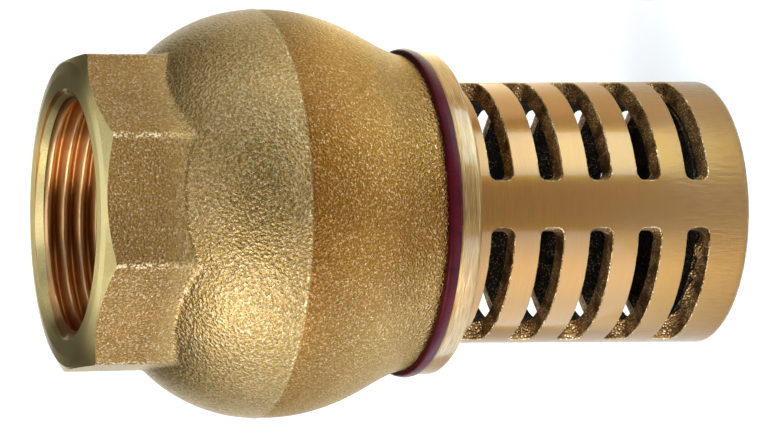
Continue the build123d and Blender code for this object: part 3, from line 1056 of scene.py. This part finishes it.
def make_cup_ends(outside, end_face, inside, flange):
    """Closed end, upper band, flange, spigot, throat and floor around the slotted wall."""
    low_z = FIRST_SLOT_Z - SLOT_PITCH / 2
    high_z = FIRST_SLOT_Z + (SLOT_ROWS - 0.5) * SLOT_PITCH
    throat = (CAVITY_TOP_RADIUS, FLANGE_TOP_Z - THROAT_CONE)
    flange_root = (CUP_TOP_RADIUS + CUP_ROOT, FLANGE_LOW_Z)
    floor_centre = (CAVITY_FLOOR_RADIUS - CAVITY_FILLET, END_THICKNESS + CAVITY_FILLET)
    end_face_profile = eased([
        (AXIS_HOLE, 0),
        (CUP_END_RADIUS - CUP_EDGE, 0),
        (CUP_END_RADIUS - 0.5 * CUP_EDGE, 0.5 * CUP_EDGE),
    ], TURNED_EDGE)
    end_band = eased([
        (CUP_END_RADIUS - CUP_EDGE, 0),
        (CUP_END_RADIUS, CUP_EDGE),
        (cup_radius(low_z), low_z),
    ], BAND_EDGE)
    upper_band = [
        (cup_radius(high_z), high_z),
        (CUP_TOP_RADIUS, FLANGE_LOW_Z - CUP_ROOT),
        flange_root,
    ]
    flange_profile = eased([
        flange_root,
        (FLANGE_RADIUS - FLANGE_CHAMFER, FLANGE_LOW_Z),
        (FLANGE_RADIUS, FLANGE_LOW_Z + FLANGE_CHAMFER),
        (FLANGE_RADIUS, FLANGE_TOP_Z),
        (SPIGOT_RADIUS, FLANGE_TOP_Z),
    ], TURNED_EDGE)
    spigot = eased([
        (SPIGOT_RADIUS, FLANGE_TOP_Z),
        (SPIGOT_RADIUS, SEAT_Z - SEAT_LIP_HEIGHT),
        (SEAT_BORE + SEAT_LIP, SEAT_Z - SEAT_LIP_HEIGHT),
        (SEAT_BORE + SEAT_LIP, SEAT_Z),
        (SEAT_BORE, SEAT_Z),
        (SEAT_BORE, FLANGE_TOP_Z),
        throat,
    ], TURNED_EDGE)
    floor = [(AXIS_HOLE, END_THICKNESS), *arc(floor_centre, CAVITY_FILLET, -90, 90, 6)]
    return [
        turned("strainer_end_face", end_face_profile, end_face),
        turned("strainer_end_band", fine_profile(end_band, CUP_STEP), outside),
        turned("strainer_upper_band", fine_profile(upper_band, TURNED_STEP), outside),
        turned("strainer_flange", fine_profile(flange_profile, TURNED_STEP), flange),
        turned("strainer_spigot", fine_profile(spigot, TURNED_STEP), outside),
        turned("strainer_throat", fine_profile(
            [throat, (cavity_radius(high_z), high_z)], CUP_STEP
        ), inside),
        turned("strainer_floor", fine_profile(floor, TURNED_STEP), inside),
    ]


# ---------------------------------------------------------------- gasket and spring

def make_gasket(material):
    """Flat ring with a slightly crowned outer face, squeezed between rim and flange."""
    low, high = GASKET_LOW.z, GASKET_HIGH.z
    outer = GASKET_HIGH.x - GASKET_INSET
    corner_r = outer - GASKET_CROWN - GASKET_CORNER
    profile = [
        (GASKET_BORE, high),
        *arc((corner_r, high - GASKET_CORNER), GASKET_CORNER, 90, -90, 6),
        (outer, (low + high) / 2),
        *arc((corner_r, low + GASKET_CORNER), GASKET_CORNER, 0, -90, 6),
        (GASKET_BORE, low),
    ]
    return turned("gasket_ring", profile, material)


def spring_height(turn, low, high):
    """Height of the wire's centre after a number of turns; the end turns lie closed."""
    if turn < CLOSED_TURNS:
        return low + CLOSED_RISE * turn / CLOSED_TURNS
    if turn > SPRING_TURNS - CLOSED_TURNS:
        return high - CLOSED_RISE * (SPRING_TURNS - turn) / CLOSED_TURNS
    share = (turn - CLOSED_TURNS) / (SPRING_TURNS - 2 * CLOSED_TURNS)
    return low + CLOSED_RISE + (high - low - 2 * CLOSED_RISE) * share


def make_spring(material):
    """Closing spring as one tube along a helix."""
    low, high = SPRING_LOW.z + WIRE_RADIUS, SPRING_HIGH.z - WIRE_RADIUS
    radius = SPRING_HIGH.x - WIRE_RADIUS
    loops = []
    for step in range(int(SPRING_TURNS * TURN_STEPS) + 1):
        turn = step / TURN_STEPS
        z = spring_height(turn, low, high)
        out = Vector((math.cos(2 * math.pi * turn), math.sin(2 * math.pi * turn), 0))
        loop = []
        for side in range(WIRE_SIDES):
            around = 2 * math.pi * side / WIRE_SIDES
            rise = Vector((0, 0, z + WIRE_RADIUS * math.sin(around)))
            loop.append(tuple(out * (radius + WIRE_RADIUS * math.cos(around)) + rise))
        loops.append(loop)
    points, faces = skin(loops, close_first=True, close_last=True)
    return mesh_object("closing_spring", points, faces, [material])


# ---------------------------------------------------------------- stage

def ray_sees_background(n):
    """1 for the rays that show the background: the camera's, and those in metal or glass."""
    path = n.add("ShaderNodeLightPath")
    seen = n.math("MAXIMUM", path.outputs["Is Camera Ray"], path.outputs["Is Glossy Ray"])
    return n.math("MAXIMUM", seen, path.outputs["Is Transmission Ray"])


def floor_material():
    """Pale matt floor that reads as white and still takes a soft shadow."""
    n = Nodes("floor")
    lift = n.math("MULTIPLY", ray_sees_background(n), FLOOR_LIFT)
    return n.finish(
        Base_Color=FLOOR_WHITE, Roughness=0.9, Emission_Color=(1, 1, 1), Emission_Strength=lift
    )


def backdrop_material():
    """Pale matt backdrop that shows as plain white to the camera, in metal and in glass."""
    n = Nodes("backdrop")
    n.finish(Base_Color=BACKDROP_WHITE, Roughness=0.9)
    mixed = n.add("ShaderNodeMixShader", Fac=ray_sees_background(n))
    n.put(mixed.inputs[1], n.shader.outputs["BSDF"])
    n.put(mixed.inputs[2], n.add("ShaderNodeEmission").outputs["Emission"])
    n.put(n.tree.nodes["Material Output"].inputs["Surface"], mixed.outputs["Shader"])
    return n.material


def make_stage():
    """Round floor under the strainer's closed end, and a low backdrop around its edge."""
    floor_z = CAD_LOW.z - FLOOR_GAP
    edge = circle(FLOOR_RADIUS, floor_z, STAGE_SEGMENTS)
    inner = circle(0.1 * FLOOR_RADIUS, floor_z, STAGE_SEGMENTS)
    top = circle(FLOOR_RADIUS, floor_z + BACKDROP_HEIGHT, STAGE_SEGMENTS)
    points, faces = skin([edge, inner], close_last=True)
    mesh_object("floor", points, faces, [floor_material()])
    points, faces = skin([edge, top])
    mesh_object("backdrop", points, faces, [backdrop_material()])


def add_lamp(name, kind, azimuth, elevation=0):
    """Lamp that faces the valve, and the way to it; azimuth 0 is -Y and 90 is +X."""
    lamp = scene_object(name, bpy.data.lights.new(name, kind))
    turn, rise = math.radians(azimuth), math.radians(elevation)
    away = Vector((
        math.sin(turn) * math.cos(rise), -math.cos(turn) * math.cos(rise), math.sin(rise)
    ))
    lamp.rotation_mode = "QUATERNION"
    lamp.rotation_quaternion = away.to_track_quat("Z", "Y")
    return lamp, away


def add_softbox(name, azimuth, distance, width, height, radiance, colour):
    """Upright area lamp that stands on the floor."""
    lamp, away = add_lamp(name, "AREA", azimuth)
    lamp.data.shape = "RECTANGLE"
    lamp.data.size = width
    lamp.data.size_y = height
    lamp.data.energy = radiance * math.pi * width * height
    lamp.data.color = colour
    lamp.location = away * distance + Vector((0, 0, CAD_LOW.z + height / 2 + LAMP_GAP))
    lamp.visible_camera = False


def add_soft_sun(name, azimuth, elevation, spread, irradiance):
    """Far, broad softbox; its irradiance is in units of a plain white surface's."""
    lamp, _ = add_lamp(name, "SUN", azimuth, elevation)
    lamp.data.energy = irradiance * math.pi
    lamp.data.angle = math.radians(spread)


def make_lights():
    """Near softboxes and strips for the metal's sheen, far broad suns and an even world.

    The suns are a key with its brighter core, a front, a top and a back light, a rim light
    at either side, and a fill behind each of those.
    """
    add_softbox("softbox_right", 48, 0.080, 0.050, 0.140, radiance=0.93, colour=COOL)
    add_softbox("strip_right", 39, 0.046, 0.029, 0.033, radiance=4.9, colour=(0.62, 1.0, 1.45))
    add_softbox("strip_side", 112, 0.080, 0.110, 0.026, radiance=1.8, colour=(1.0, 0.93, 0.60))
    add_softbox("softbox_left", -80, 0.100, 0.150, 0.150, radiance=0.54, colour=COOL)
    add_softbox("strip_left", -66, 0.050, 0.105, 0.033, radiance=2.7, colour=(0.66, 1.0, 1.60))
    add_soft_sun("key", -59, 27, spread=50, irradiance=0.67)
    add_soft_sun("key_core", -61, 27, spread=36, irradiance=0.21)
    add_soft_sun("front", -5, 66, spread=44, irradiance=0.23)
    add_soft_sun("top", 60, 78, spread=40, irradiance=0.10)
    add_soft_sun("back", 175, 50, spread=40, irradiance=0.19)
    add_soft_sun("rim_right", 82, 22, spread=36, irradiance=0.12)
    add_soft_sun("rim_left", -96, 14, spread=36, irradiance=0.07)
    add_soft_sun("fill_right", 107, 45, spread=50, irradiance=0.055)
    add_soft_sun("fill_left", -111, 37, spread=50, irradiance=0.06)
    world = bpy.data.worlds.new("studio")
    bpy.context.scene.world = world
    world.use_nodes = True
    background = world.node_tree.nodes["Background"]
    background.inputs["Color"].default_value = (1, 1, 1, 1)
    background.inputs["Strength"].default_value = WORLD_STRENGTH


def make_camera():
    """Camera at the side, a little above the strainer, with +Z to the left."""
    turn, rise, roll = CAMERA_TURN, CAMERA_ELEVATION, CAMERA_ROLL
    side = Vector((-math.sin(turn), -math.cos(turn), 0))
    up = Vector((math.cos(turn), -math.sin(turn), 0))
    back = side * math.cos(rise) + Vector((0, 0, math.sin(rise)))
    right = up.cross(back)
    right, up = (
        right * math.cos(roll) - up * math.sin(roll),
        right * math.sin(roll) + up * math.cos(roll),
    )
    camera = scene_object("camera", bpy.data.cameras.new("camera"))
    camera.data.lens = CAMERA_LENS
    camera.data.sensor_width = CAMERA_SENSOR
    aim = Vector((0, 0, AIM_Z)) - right * AIM_RIGHT - up * AIM_UP
    place = aim + back * CAMERA_DISTANCE
    axes = Matrix((right, up, back)).transposed().to_4x4()
    camera.matrix_world = Matrix.Translation(place) @ axes
    bpy.context.scene.camera = camera


# ---------------------------------------------------------------- assembly

def dress_node(name, material):
    """Gives a CAD node that stays in view its material."""
    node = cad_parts[name]
    node.data.materials.clear()
    node.data.materials.append(material)


def attach(pieces, node):
    """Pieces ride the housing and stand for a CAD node."""
    for piece in pieces:
        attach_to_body(piece, HOUSING)
        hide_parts(node)


def main():
    """Dresses the valve, sets the stage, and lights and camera."""
    bpy.context.scene.view_settings.view_transform = "Standard"
    cast = cast_brass()
    slot_wall = raw_brass("slot_brass", SLOT_WALL, SLOT_GRAIN, 1.0)
    # The strainer's inside is painted nearly black as shade.
    cavity_shade = raw_brass("cavity_shade_brass", CAVITY_SHADE, CAVITY_GRAIN, 0.7)
    # The slots' edges: partly wear, partly painted highlight.
    wear_and_highlight = raw_brass("worn_and_highlit_brass", WORN_EDGE_AND_HIGHLIGHT, WEAR_AND_HIGHLIGHT_GRAIN, 0.8)
    rings = turned_brass("turned_brass", AROUND, TURNED, end_tone=TURNED_END)
    flange = turned_brass("flange_brass", AROUND, FLANGE, depth=0.045 * MM)
    faced = turned_brass("faced_brass", ACROSS_FACE, FACED)
    thread = turned_brass("thread_brass", AROUND, THREAD, root_shade_tone=THREAD_ROOT_SHADE)
    steel = stainless()

    attach([make_casting(cast), make_inside(cast)], "body")
    attach([make_port_face(faced), make_port_thread(thread)], "body")
    attach(make_spider(cast), "guide_spider")
    attach([
        make_slotted_wall(rings, slot_wall, cavity_shade, wear_and_highlight),
        *make_cup_ends(rings, faced, cavity_shade, flange),
    ], "strainer")
    attach([make_gasket(red_rubber())], "body_gasket")
    spring = make_spring(steel)
    attach([spring], "poppet_spring")
    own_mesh(spring)
    for name in ("poppet_disc", "seal_retainer"):
        dress_node(name, rings)
    for name in ("poppet_stem", "lock_washer", "retainer_nut"):
        dress_node(name, steel)
    dress_node("seat_seal", black_rubber())
    dress_node("guide_bush", white_plastic())

    make_stage()
    make_lights()
    make_camera()


main()
